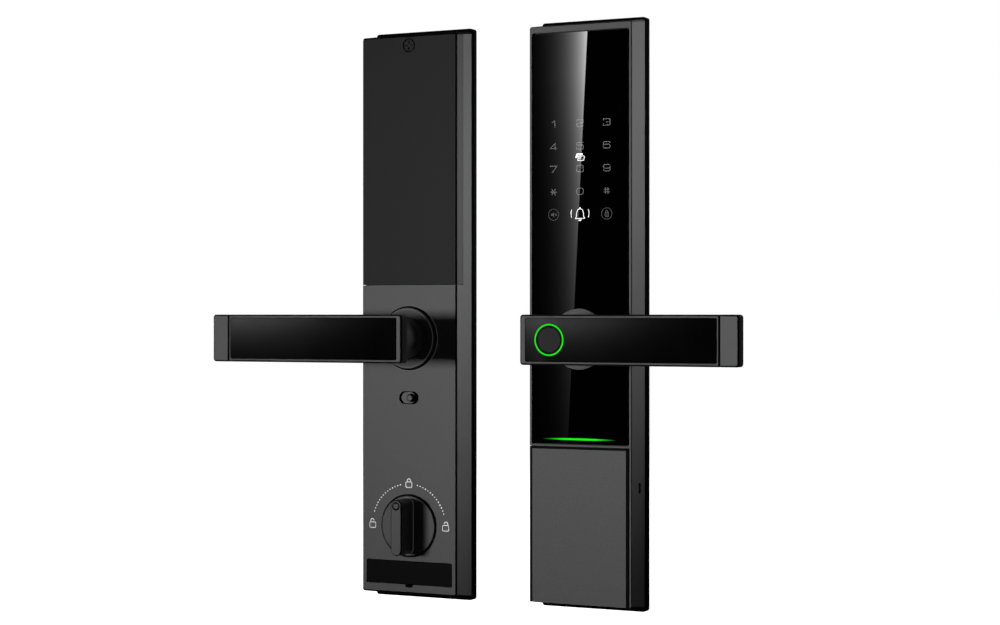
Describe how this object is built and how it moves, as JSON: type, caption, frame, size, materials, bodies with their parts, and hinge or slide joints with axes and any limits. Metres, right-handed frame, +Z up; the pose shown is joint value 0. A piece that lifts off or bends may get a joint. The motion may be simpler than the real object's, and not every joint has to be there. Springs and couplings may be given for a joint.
{
  "type": "smart lock",
  "caption": "Long-plate door lock in two units: a glass keypad unit with a fingerprint lever and key cover, and an inner unit with battery cover, lever and thumbturn.",
  "frame": {"origin": "on the door face (the back of the exterior unit's gasket), on the exterior lever's axis", "axes": "X to the right along the exterior lever, Y from the front into the door, Z up along the plates"},
  "size_m": [0.3748, 0.1127, 0.38],
  "materials": {
    "housing_coat": "fine satin powder coat, dark grey",
    "battery_cover_coat": "fine satin powder coat, near black",
    "key_cover_coat": "fine satin powder coat, dark grey",
    "lever_coat": "satin coat, dark grey",
    "end_cap_coat": "satin coat, dark grey",
    "rose_coat": "satin coat, dark grey",
    "thumbturn_coat": "satin coat, dark grey",
    "slider_coat": "satin moulded plastic",
    "inlay_gloss": "piano black",
    "panel_glass": "black-backed polished glass",
    "access_cover_black": "fine matt moulded black",
    "tray_black": "black coated steel",
    "gasket_rubber": "matt black rubber sheet",
    "sensor_face": "satin black sensor window",
    "ring_light": "lit green light guide",
    "line_light": "lit green light guide",
    "circuit_board": "green solder mask",
    "antenna_copper": "bare copper foil",
    "speaker_body": "moulded black",
    "holder_plastic": "moulded black",
    "cell_wrap": "plain printed wrap",
    "contact_plate": "bright nickel",
    "spring_steel": "bright wire",
    "bushing_bronze": "sintered bronze",
    "bar_steel": "zinc plated",
    "screw_steel": "blackened steel",
    "cylinder_brass": "turned brass"
  },
  "bodies": {
    "lock_units": {"ext_housing": "housing_coat", "ext_back_tray": "tray_black", "ext_gasket": "gasket_rubber", "ext_mounting_posts": "bar_steel", "ext_tray_screws": "screw_steel", "ext_glass_panel": "panel_glass", "ext_touch_board": "circuit_board", "ext_card_antenna": "antenna_copper", "ext_light_bar": "line_light", "ext_controller_board": "circuit_board", "ext_speaker": "speaker_body", "ext_rose": "rose_coat", "ext_bushing": "bushing_bronze", "ext_return_spring": "spring_steel", "ext_clutch_motor": "bar_steel", "ext_key_cylinder": "cylinder_brass", "ext_power_port": "holder_plastic", "int_housing": "housing_coat", "int_back_tray": "tray_black", "int_gasket": "gasket_rubber", "int_housing_screws": "screw_steel", "int_main_board": "circuit_board", "battery_holder": "holder_plastic", "battery_contacts": "contact_plate", "batteries": "cell_wrap", "int_rose": "rose_coat", "int_bushing": "bushing_bronze", "int_return_spring": "spring_steel", "turn_bushing": "bushing_bronze", "turn_detent_spring": "contact_plate", "privacy_switch": "speaker_body"},
    "ext_lever": {"ext_lever_frame": "lever_coat", "ext_lever_inlay": "inlay_gloss", "ext_lever_end_cap": "end_cap_coat", "fingerprint_sensor": "sensor_face", "fingerprint_light_ring": "ring_light", "ext_lever_hub": "rose_coat", "ext_circlip": "spring_steel"},
    "ext_spindle": {"ext_spindle_hub": "bar_steel", "ext_spindle_bar": "bar_steel"},
    "clutch": {"clutch_pin": "bar_steel"},
    "key_cover_body": {"key_cover": "key_cover_coat"},
    "key_core": {"key_plug": "cylinder_brass", "key_tailpiece": "bar_steel"},
    "battery_cover_body": {"battery_cover": "battery_cover_coat"},
    "cover_screw_body": {"cover_screw": "screw_steel"},
    "int_lever": {"int_lever_frame": "lever_coat", "int_lever_inlay": "inlay_gloss", "int_lever_end_cap": "end_cap_coat", "int_lever_hub": "rose_coat", "int_circlip": "spring_steel", "int_spindle_bar": "bar_steel"},
    "thumbturn": {"turn_knob": "thumbturn_coat", "turn_shaft": "bar_steel", "turn_circlip": "spring_steel"},
    "slider": {"privacy_slider": "slider_coat"},
    "access_hatch": {"access_cover": "access_cover_black"}
  },
  "joints": [
    {"name": "ext_lever_turn", "type": "hinge", "parent": "lock_units", "child": "ext_lever", "pos_m": [0, -0.05, 0], "axis": [0, 1, 0], "range_deg": [0, 50], "stiffness_Nm_per_rad": 0.6, "springref_deg": -45.84},
    {"name": "ext_spindle_turn", "type": "hinge", "parent": "lock_units", "child": "ext_spindle", "pos_m": [0, -0.01, 0], "axis": [0, 1, 0], "range_deg": [0, 50]},
    {"name": "clutch_slide", "type": "slide", "parent": "ext_lever", "child": "clutch", "axis": [0, 0, 1], "range_m": [0, 0.0034]},
    {"name": "key_cover_slide", "type": "slide", "parent": "lock_units", "child": "key_cover_body", "axis": [0, 0, -1], "range_m": [0, 0.067]},
    {"name": "key_turn", "type": "hinge", "parent": "lock_units", "child": "key_core", "pos_m": [0, -0.015, -0.1244], "axis": [0, 1, 0], "range_deg": [-90, 90]},
    {"name": "battery_cover_lift", "type": "slide", "parent": "lock_units", "child": "battery_cover_body", "axis": [0, -1, 0], "range_m": [0, 0.05]},
    {"name": "cover_screw_turn", "type": "hinge", "parent": "battery_cover_body", "child": "cover_screw_body", "pos_m": [-0.125, -0.02, 0.1943], "axis": [0, -1, 0], "range_deg": [0, 90]},
    {"name": "int_lever_turn", "type": "hinge", "parent": "lock_units", "child": "int_lever", "pos_m": [-0.125, -0.05, 0], "axis": [0, -1, 0], "range_deg": [0, 50], "stiffness_Nm_per_rad": 0.6, "springref_deg": -45.84},
    {"name": "thumbturn_turn", "type": "hinge", "parent": "lock_units", "child": "thumbturn", "pos_m": [-0.125, -0.02, -0.1244], "axis": [0, 1, 0], "range_deg": [-90, 90]},
    {"name": "privacy_slide", "type": "slide", "parent": "lock_units", "child": "slider", "axis": [1, 0, 0], "range_m": [0, 0.0028]},
    {"name": "access_cover_lift", "type": "slide", "parent": "lock_units", "child": "access_hatch", "axis": [0, -1, 0], "range_m": [0, 0.02]}
  ],
  "couplings": [
    {"joint": "ext_spindle_turn", "follows": "ext_lever_turn", "ratio": 1}
  ]
}
